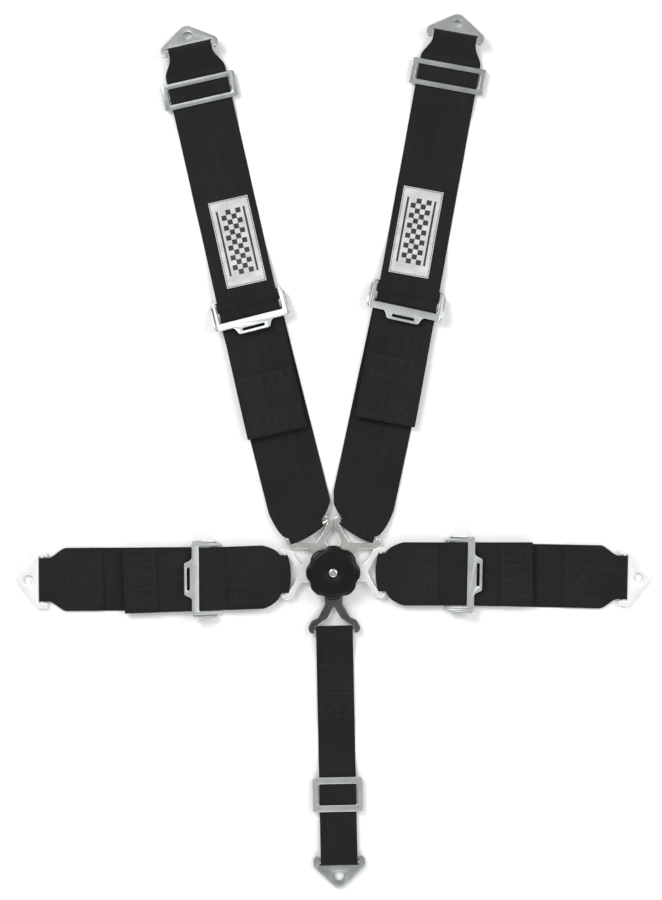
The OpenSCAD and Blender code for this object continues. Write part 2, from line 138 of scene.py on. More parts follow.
def make_studio():
    world = bpy.data.worlds.new("studio")
    bpy.context.scene.world = world
    world.use_nodes = True
    back = world.node_tree.nodes["Background"]
    back.inputs["Color"].default_value = (1.0, 1.0, 0.995, 1.0)
    back.inputs["Strength"].default_value = 0.54
    area_light("key", (-1.5, 1.7, 2.3), (1.3, 1.3), 52.0)
    area_light("fill", (1.9, 0.9, 2.0), (1.2, 1.8), 26.0)
    area_light("low", (0.2, -1.9, 1.6), (1.8, 0.9), 14.0)
    bpy.ops.mesh.primitive_plane_add(size=12.0, location=(0.0, 0.15, -0.0004))
    floor = bpy.context.active_object
    floor.name = "floor"
    mat = bpy.data.materials.new("floor_white")
    mat.use_nodes = True
    shader = mat.node_tree.nodes["Principled BSDF"]
    shader.inputs["Base Color"].default_value = (0.93, 0.93, 0.93, 1.0)
    shader.inputs["Roughness"].default_value = 0.85
    floor.data.materials.append(mat)
    view = bpy.context.scene.view_settings
    view.view_transform = "Standard"
    view.exposure = 0.0


# ---------------------------------------------------------------- node helpers

class Shader:
    """A material's node tree, with short calls for the nodes used here."""

    def __init__(self, name):
        self.mat = bpy.data.materials.new(name)
        self.mat.use_nodes = True
        self.tree = self.mat.node_tree
        self.main = self.tree.nodes["Principled BSDF"]

    def node(self, kind, **values):
        made = self.tree.nodes.new(kind)
        for key, value in values.items():
            setattr(made, key, value)
        return made

    def link(self, source, target):
        self.tree.links.new(source, target)

    def feed(self, socket, value):
        if isinstance(value, (int, float)):
            socket.default_value = value
        else:
            self.link(value, socket)

    def math(self, operation, a, b=0.0):
        made = self.node("ShaderNodeMath", operation=operation)
        self.feed(made.inputs[0], a)
        self.feed(made.inputs[1], b)
        return made.outputs[0]

    def place(self):
        return self.node("ShaderNodeTexCoord").outputs["Object"]

    def noise(self, scale, detail=4.0, vector=None, stretch=None, roughness=0.55):
        vector = vector or self.place()
        if stretch:
            warp = self.node("ShaderNodeMapping")
            warp.inputs["Scale"].default_value = stretch
            self.link(vector, warp.inputs["Vector"])
            vector = warp.outputs[0]
        made = self.node("ShaderNodeTexNoise")
        made.inputs["Scale"].default_value = scale
        made.inputs["Detail"].default_value = detail
        made.inputs["Roughness"].default_value = roughness
        self.link(vector, made.inputs["Vector"])
        return made.outputs["Fac"]

    def ramp(self, value, stops):
        made = self.node("ShaderNodeValToRGB")
        ramp = made.color_ramp
        while len(ramp.elements) < len(stops):
            ramp.elements.new(0.5)
        for element, (at, colour) in zip(ramp.elements, stops):
            element.position = at
            element.color = (*colour, 1.0)
        self.link(value, made.inputs["Fac"])
        return made.outputs["Color"]

    def mix(self, factor, a, b):
        made = self.node("ShaderNodeMix", data_type="RGBA")
        self.feed(made.inputs[0], factor)
        for socket, value in ((made.inputs[6], a), (made.inputs[7], b)):
            if isinstance(value, tuple):
                socket.default_value = (*value, 1.0)
            else:
                self.link(value, socket)
        return made.outputs[2]

    def range(self, value, low, high):
        made = self.node("ShaderNodeMapRange")
        self.link(value, made.inputs["Value"])
        made.inputs["To Min"].default_value = low
        made.inputs["To Max"].default_value = high
        return made.outputs["Result"]

    def bump(self, height, distance, strength=1.0, under=None):
        made = self.node("ShaderNodeBump")
        made.inputs["Distance"].default_value = distance
        made.inputs["Strength"].default_value = strength
        self.link(height, made.inputs["Height"])
        if under:
            self.link(under, made.inputs["Normal"])
        return made.outputs["Normal"]

    def set(self, **values):
        for key, value in values.items():
            socket = self.main.inputs[key.replace("_", " ")]
            if isinstance(value, tuple):
                socket.default_value = (*value, 1.0)
            else:
                self.feed(socket, value)
        return self


# ---------------------------------------------------------------- materials

def strap_axes(s):
    """The across and along coordinates of a strap, in metres, kept on its vertices."""
    read = s.node("ShaderNodeAttribute", attribute_name="strap")
    split = s.node("ShaderNodeSeparateXYZ")
    s.link(read.outputs["Vector"], split.inputs[0])
    return split.outputs[0], split.outputs[1], read.outputs["Vector"]


def webbing_material(name, dark, light):
    """Black nylon webbing: long ribs, a fine twill across them and lint."""
    s = Shader(name)
    across, along, both = strap_axes(s)
    rib_pitch, pick_pitch = 0.00155, 0.0016
    rib = s.math("SINE", s.math("MULTIPLY", across, 2 * math.pi / rib_pitch))
    # the twill slants one way on one rib and the other way on the next
    side = s.math("SINE", s.math("MULTIPLY", across, math.pi / rib_pitch))
    slant = s.math("MULTIPLY", s.math("SIGN", side), s.math("MULTIPLY", across, 2 * math.pi / 0.0021))
    pick = s.math("SINE", s.math("ADD", s.math("MULTIPLY", along, 2 * math.pi / pick_pitch), slant))
    weave = s.math("ADD", s.math("MULTIPLY", rib, 0.55), s.math("MULTIPLY", pick, 0.45))
    cloth = s.noise(900.0, 3.0, both, (1.0, 0.35, 1.0))
    streak = s.noise(60.0, 3.0, both, (3.0, 0.25, 1.0))
    patch = s.noise(14.0, 2.0)
    tone = s.math("ADD", s.math("MULTIPLY", streak, 0.45), s.math("MULTIPLY", patch, 0.4))
    tone = s.math("ADD", tone, s.math("MULTIPLY", weave, 0.09))
    tone = s.math("ADD", tone, s.math("MULTIPLY", s.math("SUBTRACT", cloth, 0.5), 0.35))
    colour = s.ramp(tone, [(0.18, dark), (0.78, light)])
    height = s.math("ADD", weave, s.math("MULTIPLY", cloth, 0.8))
    s.set(Base_Color=colour, Roughness=s.range(cloth, 0.74, 0.95),
          Normal=s.bump(height, 0.00022, 0.55))
    s.main.inputs["Specular IOR Level"].default_value = 0.24
    s.main.inputs["Sheen Weight"].default_value = 0.05
    s.main.inputs["Sheen Roughness"].default_value = 0.45
    return s.mat


def thread_material():
    s = Shader("thread_black")
    twist = s.noise(2200.0, 2.0)
    s.set(Base_Color=s.ramp(twist, [(0.3, (0.004, 0.004, 0.004)), (0.75, (0.016, 0.016, 0.0165))]),
          Roughness=0.7, Normal=s.bump(twist, 0.0001, 0.6))
    return s.mat


def label_material():
    """A generic satin patch: pale woven ground, and a chequered band between two stripes."""
    s = Shader("label_satin")
    across, along, both = strap_axes(s)
    satin = s.noise(1500.0, 2.0, both, (0.25, 2.0, 1.0))
    # the broad light and dark of the ground is painted light and shade of soft folds in the satin
    fold_light_and_shade = s.noise(30.0, 3.0, both, (1.0, 2.0, 1.0))
    ground = s.ramp(s.math("ADD", s.math("MULTIPLY", satin, 0.45), s.math("MULTIPLY", fold_light_and_shade, 0.55)),
                    [(0.30, (0.34, 0.34, 0.355)), (0.62, (0.66, 0.66, 0.68))])
    ink = (0.012, 0.012, 0.013)

    def between(value, low, high):
        return s.math("MULTIPLY", s.math("GREATER_THAN", value, low), s.math("LESS_THAN", value, high))

    square = 0.0062
    row = s.math("FLOOR", s.math("DIVIDE", along, square))
    column = s.math("FLOOR", s.math("DIVIDE", across, square))
    odd = s.math("GREATER_THAN", s.math("FLOORED_MODULO", s.math("ADD", row, column), 2.0), 0.5)
    length = between(along, 2 * square, 15 * square)
    band = s.math("MULTIPLY", odd, s.math("MULTIPLY", length, between(across, -2 * square, 2 * square)))
    stripes = s.math("MAXIMUM", between(across, 0.0155, 0.0180), between(across, -0.0180, -0.0155))
    marks = s.math("MAXIMUM", band, s.math("MULTIPLY", stripes, length))
    s.set(Base_Color=s.mix(marks, ground, ink),
          Roughness=s.range(satin, 0.42, 0.62), Normal=s.bump(satin, 0.0002, 0.7))
    s.main.inputs["Sheen Weight"].default_value = 0.2
    return s.mat


def steel_material(name, dark, light, rough, grain=1.0, metallic=1.0):
    """Plated steel: cloudy tone, fine drawn lines, small dings and soft glints."""
    s = Shader(name)
    cloud = s.noise(38.0, 5.0)
    fine = s.noise(260.0, 6.0, None, (1.0, 6.0, 1.0), 0.65)
    speck = s.noise(1300.0, 2.0)
    tone = s.math("ADD", s.math("MULTIPLY", cloud, 0.6), s.math("MULTIPLY", fine, 0.4))
    s.set(Base_Color=s.ramp(tone, [(0.32, dark), (0.68, light)]), Metallic=metallic,
          Roughness=s.range(tone, rough[0], rough[1]))
    soft = s.bump(cloud, 0.0006, 0.35 * grain)
    s.set(Normal=s.bump(s.math("ADD", fine, s.math("MULTIPLY", speck, 0.4)), 0.00012, 0.5 * grain, soft))
    return s.mat


def knob_material():
    """Black anodised metal, turned on its top and a little rubbed."""
    s = Shader("knob_black")
    split = s.node("ShaderNodeSeparateXYZ")
    s.link(s.place(), split.inputs[0])
    x, y = split.outputs[0], split.outputs[1]
    radius = s.math("SQRT", s.math("ADD", s.math("MULTIPLY", x, x), s.math("MULTIPLY", y, y)))
    rings = s.math("SINE", s.math("MULTIPLY", radius, 2 * math.pi / 0.0006))
    rub = s.noise(70.0, 5.0)
    grain = s.noise(900.0, 3.0)
    s.set(Base_Color=s.ramp(rub, [(0.35, (0.0010, 0.0010, 0.0010)), (0.8, (0.0035, 0.0034, 0.0034))]),
          Roughness=s.range(s.math("ADD", s.math("MULTIPLY", rub, 0.6), s.math("MULTIPLY", grain, 0.4)),
                            0.24, 0.42),
          Normal=s.bump(s.math("ADD", s.math("MULTIPLY", rings, 0.25), grain), 0.00006, 0.35))
    s.main.inputs["Specular IOR Level"].default_value = 0.28
    return s.mat


MAT = {
    "web": webbing_material("webbing_black", (0.0045, 0.0046, 0.0046), (0.0160, 0.0162, 0.0159)),
    "web_lap": webbing_material("webbing_black_lap", (0.0048, 0.0048, 0.0049), (0.0178, 0.0175, 0.0178)),
    "thread": thread_material(),
    "label": label_material(),
    "zinc": steel_material("zinc_plate", (0.44, 0.46, 0.47), (0.62, 0.64, 0.65), (0.28, 0.46)),
    # a darker, slightly greener copy of the zinc plate: painted shade on the crotch bracket and the shoulder
    # slides
    "zinc_painted_shade": steel_material("zinc_painted_shade", (0.28, 0.31, 0.305), (0.48, 0.51, 0.50), (0.26, 0.44)),
    # a near-white copy of the zinc plate with less metal: painted highlight on the lap brackets
    "zinc_painted_highlight": steel_material("zinc_painted_highlight", (0.80, 0.81, 0.82), (0.93, 0.94, 0.94), (0.30, 0.46),
                                 grain=0.4, metallic=0.35),
    "adjuster": steel_material("adjuster_zinc", (0.46, 0.48, 0.49), (0.66, 0.68, 0.69), (0.28, 0.46)),
    "tongue": steel_material("tongue_nickel", (0.50, 0.50, 0.48), (0.78, 0.78, 0.75), (0.18, 0.34)),
    # a near-white copy of the tongue steel with less metal: painted highlight on the lap tongues
    "tongue_painted_highlight": steel_material("tongue_nickel_painted_highlight", (0.74, 0.74, 0.72), (0.95, 0.95, 0.94), (0.20, 0.34),
                                   grain=0.25, metallic=0.45),
    # a dark copy of the tongue steel: painted dark reflection on the crotch tongue
    "tongue_painted_dark_reflection": steel_material("tongue_painted_dark_reflection", (0.075, 0.073, 0.073), (0.17, 0.165, 0.165), (0.26, 0.42)),
    "lock": steel_material("lock_steel", (0.35, 0.36, 0.38), (0.55, 0.57, 0.60), (0.35, 0.55)),
    "spindle": steel_material("spindle_bright", (0.46, 0.46, 0.46), (0.66, 0.66, 0.66), (0.22, 0.34), 0.5),
    "inner": steel_material("inner_steel", (0.35, 0.36, 0.37), (0.52, 0.53, 0.55), (0.35, 0.5)),
    "knob": knob_material(),
    "body": steel_material("buckle_dark", (0.05, 0.05, 0.055), (0.09, 0.09, 0.10), (0.40, 0.55)),
}


# ---------------------------------------------------------------- plane geometry

def rounded(points, steps=6):
    """Closed outline with round corners, from (x, y, radius)."""
    out = []
    count = len(points)
    for i, (x, y, r) in enumerate(points):
        p = Vector((x, y))
        before = (Vector(points[i - 1][:2]) - p).normalized()
        after = (Vector(points[(i + 1) % count][:2]) - p).normalized()
        half = math.acos(max(-1.0, min(1.0, before.dot(after)))) / 2
        centre = p + (before + after).normalized() * (r / math.sin(half))
        start = p + before * (r / math.tan(half)) - centre
        end = p + after * (r / math.tan(half)) - centre
        a0 = math.atan2(start.y, start.x)
        sweep = math.atan2(start.x * end.y - start.y * end.x, start.dot(end))
        for k in range(steps + 1):
            a = a0 + sweep * k / steps
            out.append((centre.x + r * math.cos(a), centre.y + r * math.sin(a)))
    return out


def mirrored(half):
    return half + [(x, -y, r) for x, y, r in reversed(half)]


def circle(x, y, r, steps=40):
    return [(x + r * math.cos(2 * math.pi * k / steps), y + r * math.sin(2 * math.pi * k / steps))
            for k in range(steps)]


def arc(cx, cz, r, a0, a1, steps=18):
    turn = [math.radians(a0 + (a1 - a0) * k / steps) for k in range(steps + 1)]
    return [(cx + r * math.cos(a), cz + r * math.sin(a)) for a in turn]


def touch(c, p, side):
    """Angle in degrees at which the line from p touches the webbing's loop round c."""
    dx, dz = p[0] - c[0], p[1] - c[1]
    return math.degrees(math.atan2(dz, dx) + side * math.acos(LOOP_R / math.hypot(dx, dz)))


def wrap(c, p_in, p_out):
    """Webbing round a bar at c, passing it on its -x side, from p_in below to p_out above."""
    return arc(c[0], c[1], LOOP_R, touch(c, p_in, -1), touch(c, p_out, 1) - 360)


def flipped(points):
    return [(-x, z) for x, z in points]


def shifted(points, dx):
    return [(x + dx, z) for x, z in points]


def smooth(x, low, high):
    t = max(0.0, min(1.0, (x - low) / (high - low)))
    return t * t * (3 - 2 * t)


class Place:
    """A plan frame: an origin in millimetres and the direction of its +x."""

    def __init__(self, origin, direction):
        self.o = Vector(origin[:2])
        self.d = Vector(direction[:2]).normalized()
        self.n = Vector((-self.d.y, self.d.x))

    def at(self, x, y=0.0):
        return self.o + self.d * x + self.n * y

    def matrix(self, z=0.0, tilt=0.0):
        """To the world in metres, tipped about the frame's y axis; +tilt lowers the front."""
        turn = Matrix(((self.d.x, self.n.x, 0, 0), (self.d.y, self.n.y, 0, 0), (0, 0, 1, 0), (0, 0, 0, 1)))
        move = Matrix.Translation((self.o.x, self.o.y, z))
        return Matrix.Scale(MM, 4) @ move @ turn @ Matrix.Rotation(tilt, 4, "Y")


def joint_point(name):
    return [v / MM for v in JOINTS[name]["pos_m"]]


def hinge_front(name):
    """The plan direction that a hinge lifts."""
    ax = JOINTS[name]["axis"]
    return (-ax[1], ax[0])


# ---------------------------------------------------------------- mesh helpers

def new_object(name, mesh, material):
    mesh.materials.append(material)
    obj = bpy.data.objects.new(name, mesh)
    bpy.context.scene.collection.objects.link(obj)
    return obj


def finish_mesh(mesh, sharp_deg=35.0):
    bm = bmesh.new()
    bm.from_mesh(mesh)
    bmesh.ops.remove_doubles(bm, verts=bm.verts, dist=2e-6)
    bmesh.ops.recalc_face_normals(bm, faces=bm.faces)
    bm.to_mesh(mesh)
    bm.free()
    mesh.shade_smooth()
    mesh.set_sharp_from_angle(angle=math.radians(sharp_deg))
    mesh.update()


def skin(bm, rows):
    """Faces between rings of vertices, each ring closed on itself."""
    for a, b in zip(rows, rows[1:]):
        count = len(a)
        for k in range(count):
            bm.faces.new((a[k], a[(k + 1) % count], b[(k + 1) % count], b[k]))


def cap_strip(bm, row):
    """Closes the end of a flat ring whose second half runs back under its first."""
    count = len(row)
    for k in range(count // 2 - 1):
        bm.faces.new((row[k], row[k + 1], row[count - 2 - k], row[count - 1 - k]))


def mesh_from(bm, name):
    mesh = bpy.data.meshes.new(name)
    bm.to_mesh(mesh)
    bm.free()
    return mesh


def plate_mesh(name, loops, thickness, bevel):
    """A flat plate with rounded rims, in millimetres, centred on z = 0."""
    curve = bpy.data.curves.new(name, "CURVE")
    curve.dimensions = "2D"
    curve.fill_mode = "BOTH"
    curve.extrude = thickness / 2 - bevel
    curve.bevel_depth = bevel
    curve.bevel_resolution = 2
    curve.offset = -bevel
    for loop in loops:
        spline = curve.splines.new("POLY")
        spline.points.add(len(loop) - 1)
        for point, (x, y) in zip(spline.points, loop):
            point.co = (x, y, 0.0, 1.0)
        spline.use_cyclic_u = True
    holder = bpy.data.objects.new(name, curve)
    bpy.context.scene.collection.objects.link(holder)
    graph = bpy.context.evaluated_depsgraph_get()
    mesh = bpy.data.meshes.new_from_object(holder.evaluated_get(graph))
    bpy.data.objects.remove(holder)
    bpy.data.curves.remove(curve)
    mesh.name = name
    mesh.materials.clear()
    return mesh


def rod_mesh(half, steps=20):
    """A round bar along y with domed ends."""
    rings = [(-half, 0.0), (-half, BAR_R * 0.7), (-half + BAR_R * 0.3, BAR_R)]
    rings += [(half - BAR_R * 0.3, BAR_R), (half, BAR_R * 0.7), (half, 0.0)]
    bm = bmesh.new()
    rows = [[bm.verts.new((x, y, z)) for x, z in circle(0.0, 0.0, r, steps)] for y, r in rings]
    skin(bm, rows)
    return mesh_from(bm, "rod")


def join_meshes(name, meshes):
    bm = bmesh.new()
    for mesh in meshes:
        bm.from_mesh(mesh)
    return mesh_from(bm, name)


def part(name, meshes, matrix, material, body, node):
    mesh = join_meshes(name, meshes)
    mesh.transform(matrix)
    finish_mesh(mesh)
    obj = new_object(name, mesh, material)
    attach(obj, body)
    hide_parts(node)


# ---------------------------------------------------------------- hardware

def tongue_meshes(bar_x):
    w = 32.0
    outline = rounded(mirrored([
        (12.5, 6.5, 6.0), (25.0, 6.5, 2.5), (30.0, 11.0, 4.0), (38.5, 10.5, 5.0),
        (bar_x - 13.0, 19.5, 5.0), (bar_x - 9.5, w - 4.5, 5.0), (bar_x - 0.5, w, 5.0),
        (bar_x + 6, w - 2.6, 3.8),
        (bar_x + 5.8, NARROW + 1.8, 0.8), (bar_x - 2, NARROW + 1.8, 1.0), (bar_x - 3.2, NARROW - 1.0, 1.6),
        (bar_x - 8.0, NARROW - 7.5, 5.0), (bar_x - 12.0, 8.5, 5.0), (42.5, 1.0, 1.0)]), 8)
    plate = plate_mesh("tongue", [outline, circle(19.0, 0.0, 3.2)], 2.4, 0.75)
    return [plate, rod_mesh(NARROW + 3.0)]


def bracket_meshes(reach):
    inner = reach - 8.0
    outline = rounded(mirrored([
        (31.5, 3.4, 5.0), (26.5, 9.6, 7.0), (5.0, reach - 0.4, 8.0), (-7.3, reach - 1.2, 4.0),
        (-7.3, inner, 2.5), (3.9, inner, 1.2)]), 8)
    plate = plate_mesh("bracket", [outline, circle(16.7, 0.0, 5.95)], 3.0, 0.5)
    return [plate, rod_mesh(inner + 1.5)]


def bend_ears(mesh, fold_at, radius, angle):
    """Bends what lies beyond |y| = fold_at upwards round the given radius."""
    bm = bmesh.new()
    bm.from_mesh(mesh)
    length = radius * angle
    for side in (-1, 1):
        for k in range(9):
            geometry = bm.verts[:] + bm.edges[:] + bm.faces[:]
            bmesh.ops.bisect_plane(bm, geom=geometry, dist=1e-5,
                                   plane_co=(0, side * (fold_at + length * k / 8), 0), plane_no=(0, 1, 0))
    for v in bm.verts:
        over = abs(v.co.y) - fold_at
        if over <= 0:
            continue
        side = 1 if v.co.y > 0 else -1
        a = min(over, length) / radius
        rest = max(0.0, over - length)
        y = fold_at + (radius - v.co.z) * math.sin(a) + rest * math.cos(a)
        z = radius - (radius - v.co.z) * math.cos(a) + rest * math.sin(a)
        v.co = (v.co.x, side * y, z)
    bm.to_mesh(mesh)
    bm.free()


def adjuster_meshes():
    rail_in, rail_out, front = 39.7, 43.2, 24.2
    ear = rail_out + 9.0
    outer = rounded(mirrored([
        (42.7, 19.0, 2.6), (35.4, 22.5, 2.4), (33.2, 25.0, 1.0), (33.2, rail_out - 2, 2.0),
        (31.0, ear - 1.0, 2.5), (22.0, ear, 4.0), (3.0, ear - 3.0, 3.0), (2.0, rail_out + 1, 1.0),
        (-4.0, rail_out, 1.5)]))
    window = rounded([(-2.2, rail_in, 0.8), (front, rail_in, 1.2), (front, -rail_in, 1.2),
                      (-2.2, -rail_in, 0.8)])
    slot = rounded([(39.4, 14.0, 1.7), (39.4, -14.0, 1.7), (35.8, -14.0, 1.7), (35.8, 14.0, 1.7)])
    plate = plate_mesh("adjuster", [outer, window, slot], 2.0, 0.45)
    bend_ears(plate, rail_out - 0.3, 2.4, math.radians(80))
    return [plate, rod_mesh(rail_in + 1.0)]


def slide_meshes(length, width, window_l, window_w):
    outer = rounded(mirrored([(length / 2, width / 2, 3.2), (-length / 2, width / 2, 3.2)]))
    window = rounded(mirrored([(window_l / 2, window_w / 2, 3.0), (-window_l / 2, window_w / 2, 3.0)]))
    plate = plate_mesh("slide", [outer, window], 2.0, 0.85)
    plate.transform(Matrix.Translation((0, 0, 5.9)))
    reach = window_w / 2 + 1.6
    outline = rounded([(3.5, reach, 1), (3.5, -reach, 1), (-3.5, -reach, 1), (-3.5, reach, 1)])
    bar = plate_mesh("slide_bar", [outline], 1.4, 0.4)
    bar.transform(Matrix.Translation((0, 0, 1.0)))
    legs = []
    for side in (-1, 1):
        leg = plate_mesh("leg", [rounded([(3.5, 1.05, .4), (3.5, -1.05, .4), (-3.5, -1.05, .4),
                                          (-3.5, 1.05, .4)])], 4.4, 0.3)
        leg.transform(Matrix.Translation((0, side * (window_w / 2 + 1.45), 2.9)))
        legs.append(leg)
    return [plate, bar, *legs]


def lock_bar_meshes():
    outline = rounded([(5, 41.8, 1.5), (5, -41.8, 1.5), (-5, -41.8, 1.5), (-5, 41.8, 1.5)])
    bar = plate_mesh("lock_bar", [outline], 2.4, 0.6)
    bar.transform(Matrix.Translation((15.5, 0, 5.45 - REAR_Z)))
    return [bar]


def knob_meshes():
    """Lobed knob: a lobed skirt under a round, slightly dished top, as (radius, height, lobe)."""
    steps, lobes, deepest = 192, 8, 2.5
    r = 33.0
    profile = [(27.0, 9.7, 0), (r - 0.8, 9.7, 1), (r, 10.4, 1), (r, 17.6, 1), (r - 0.3, 19.4, 1),
               (r - 1.2, 20.8, 0.9), (r - 2.6, 21.7, 0.75), (28.6, 22.0, 0.3), (28.3, 22.4, 0.1),
               (28.0, 23.2, 0), (27.3, 23.8, 0), (26.2, 24.0, 0), (15.0, 23.85, 0), (8.4, 23.8, 0),
               (7.8, 23.5, 0), (7.2, 23.45, 0), (3.4, 23.45, 0), (3.4, 20.0, 0)]
    bm = bmesh.new()
    rows = []
    for base, z, lobe in profile:
        row = []
        for k in range(steps):
            a = 2 * math.pi * k / steps
            wave = 0.5 + 0.5 * math.cos(lobes * (a - math.pi / lobes))
            dip = deepest * wave ** 2.4
            q = base - lobe * dip
            row.append(bm.verts.new((q * math.cos(a), q * math.sin(a), z)))
        rows.append(row)
    skin(bm, [*rows, rows[0]])
    return [mesh_from(bm, "knob")]


def spindle_meshes():
    """The centre post with its domed head, as (radius, height)."""
    profile = [(0.0, 3.2), (2.9, 3.2), (2.9, 24.3), (5.0, 24.3), (5.5, 24.5), (5.5, 24.9),
               (5.2, 25.6), (4.3, 26.2), (3.0, 26.6), (2.2, 26.5), (1.9, 26.1), (0.0, 26.0)]
    bm = bmesh.new()
    rows = [[bm.verts.new((x, y, z)) for x, y in circle(0.0, 0.0, r, 48)] for r, z in profile]
    skin(bm, rows)
    return [mesh_from(bm, "spindle")]


# ---------------------------------------------------------------- webbing

def resample(path, step=1.6):
    """Adds points along long stretches, so that the cloth can bend and be uneven."""
    out = [path[0]]
    for (x0, z0), (x1, z1) in zip(path, path[1:]):
        count = max(1, round(math.hypot(x1 - x0, z1 - z0) / step))
        out += [(x0 + (x1 - x0) * k / count, z0 + (z1 - z0) * k / count) for k in range(1, count + 1)]
    return out


def soften(path, held, rounds=10):
    """Eases the corners of a path, except where held(x, z) is true."""
    pts = [list(p) for p in path]
    for _ in range(rounds):
        old = [tuple(p) for p in pts]
        for i in range(1, len(pts) - 1):
            if not held(*old[i]):
                pts[i][1] = 0.5 * old[i][1] + 0.25 * (old[i - 1][1] + old[i + 1][1])
    return [tuple(p) for p in pts]


def web(name, path, spot, widths, material, body, node, puckers=None, seed=0.0, bow=None):
    """Webbing swept along a path of (x, z). spot(x) gives the plan point and the direction across;
    widths(x) gives the half widths to the +y and the -y side."""
    rim = [0.0, 0.10, 0.32, 0.62]   # distances from the edge; the last is where the rounding ends
    inner = [i / 22 for i in range(1, 22)]
    bm = bmesh.new()
    layer = bm.verts.layers.float_vector.new("strap")
    rows, run = [], 0.0
    for i, (x, z) in enumerate(path):
        a, b = path[max(i - 1, 0)], path[min(i + 1, len(path) - 1)]
        run += math.hypot(x - path[i - 1][0], z - path[i - 1][1]) if i else 0.0
        length = math.hypot(b[0] - a[0], b[1] - a[1])
        tx, tz = (b[0] - a[0]) / length, (b[1] - a[1]) / length
        point, across = spot(x)
        ahead = Vector((across.y, -across.x))
        left, right = widths(x)
        wander = 0.22 * noise.noise(Vector((run * 0.02, seed, 3.1)))
        left, right = left + wander, right - wander
        width = left + right
        ys = [-right + e for e in rim]
        ys += [-right + rim[-1] + (width - 2 * rim[-1]) * t for t in inner]
        ys += [left - e for e in reversed(rim)]
        row = []
        for face in (1, -1):
            for y in (ys if face > 0 else reversed(ys)):
                e = min(y + right, left - y)
                bend = min(e / rim[-1], 1.0)
                half = WEB_T / 2 * math.sqrt(max(0.02, 1 - (1 - bend) ** 2))
                lift = puckers(x, y / WIDE, z) if puckers else 0.0
                lift += 0.10 * noise.noise(Vector((x * 0.03, y * 0.05, seed)))
                nx, nz = -tz * face * half, tx * face * half
                pushed = bow(x, (y - (left - right) / 2) / (width / 2)) if bow else 0.0
                p = point + ahead * (nx + pushed) + across * y
                vert = bm.verts.new((p.x * MM, p.y * MM, max(z + nz + lift, 0.02) * MM))
                vert[layer] = Vector((y * MM, run * MM, face))
                row.append(vert)
        rows.append(row)
    skin(bm, rows)
    cap_strip(bm, rows[0])
    cap_strip(bm, rows[-1])
    bmesh.ops.recalc_face_normals(bm, faces=bm.faces)
    mesh = mesh_from(bm, name)
    mesh.shade_smooth()
    mesh.set_sharp_from_angle(angle=math.radians(60))
    obj = new_object(name, mesh, material)
    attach(obj, body)
    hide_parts(node)


def stitch_lines(name, spot, z, lines, body, pitch=3.6):
    """Raised stitches along plan lines [(x0, y0), (x1, y1)] on a surface of height z(x)."""
    bm = bmesh.new()
    long, wide, tall = 2.7, 0.42, 0.26
    for (x0, y0), (x1, y1) in lines:
        length = math.hypot(x1 - x0, y1 - y0)
        count = max(1, int(length / pitch))
        for k in range(count):
            t = (k + 0.5) / count
            x, y = x0 + (x1 - x0) * t, y0 + (y1 - y0) * t
            point, across = spot(x)
            ahead = Vector((across.y, -across.x))
            centre = point + across * y
            run = (ahead * (x1 - x0) + across * (y1 - y0)).normalized()
            side = Vector((-run.y, run.x))
            rings = []
            for f, q in ((-0.5, 0.25), (-0.28, 1.0), (0.28, 1.0), (0.5, 0.25)):
                ring = []
                for m in range(6):
                    a = math.pi * m / 5
                    p = centre + run * (f * long) + side * (wide * q * math.cos(a))
                    ring.append(bm.verts.new((p.x * MM, p.y * MM,
                                              (z(x) + tall * q * math.sin(a) - 0.04) * MM)))
                rings.append(ring)
            skin(bm, rings)
            bm.faces.new(rings[0])
            bm.faces.new(list(reversed(rings[-1])))
    mesh = mesh_from(bm, name)
    finish_mesh(mesh, 70)
    obj = new_object(name, mesh, MAT["thread"])
    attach(obj, body)


def box_cross(x0, x1, y):
    """A sewn box with a cross in it."""
    return [[(x0, -y), (x1, -y)], [(x1, -y), (x1, y)], [(x1, y), (x0, y)], [(x0, y), (x0, -y)],
            [(x0, -y), (x1, y)], [(x0, y), (x1, -y)]]


def zigzag(x0, x1, y, teeth):
    """A sewn W: lines that run to and fro across the strap, with a line along each side."""
    points = [(x0 if k % 2 == 0 else x1, -y + 2 * y * k / teeth) for k in range(teeth + 1)]
    return [list(pair) for pair in zip(points, points[1:])] + [
        [(x0 - 1.5, -y), (x0 - 1.5, y)], [(x1 + 1.5, -y), (x1 + 1.5, y)]]


def seam_on(z):
    """Height of thread on webbing whose middle line is at z."""
    return lambda x: z + WEB_T / 2 + SEAM_LIFT


def straight(place):
    return lambda x: (place.at(x), place.n)


def swell(x, low, high):
    """Rises fast and then levels out, like cloth that spreads from a narrow slot."""
    t = max(0.0, min(1.0, (x - low) / (high - low)))
    return 0.65 * math.sqrt(1 - (1 - t) ** 2) + 0.35 * t


# ---------------------------------------------------------------- the arms

def tongue(side, body, axis, bar_x):
    place = Place((0, 0), axis)
    meshes = tongue_meshes(bar_x)
    meshes[1].transform(Matrix.Translation((bar_x, 0, 0)))
    # the lap tongues take the copy with painted highlight, the crotch tongue the copy with painted dark
    # reflection
    plain_or_painted_light_tongue = {"lap": "tongue_painted_highlight", "cro": "tongue_painted_dark_reflection"}.get(side[:3], "tongue")
    part(side + "_tongue_plate", meshes, place.matrix(TONGUE_Z), MAT[plain_or_painted_light_tongue], body,
         side + "_tongue")


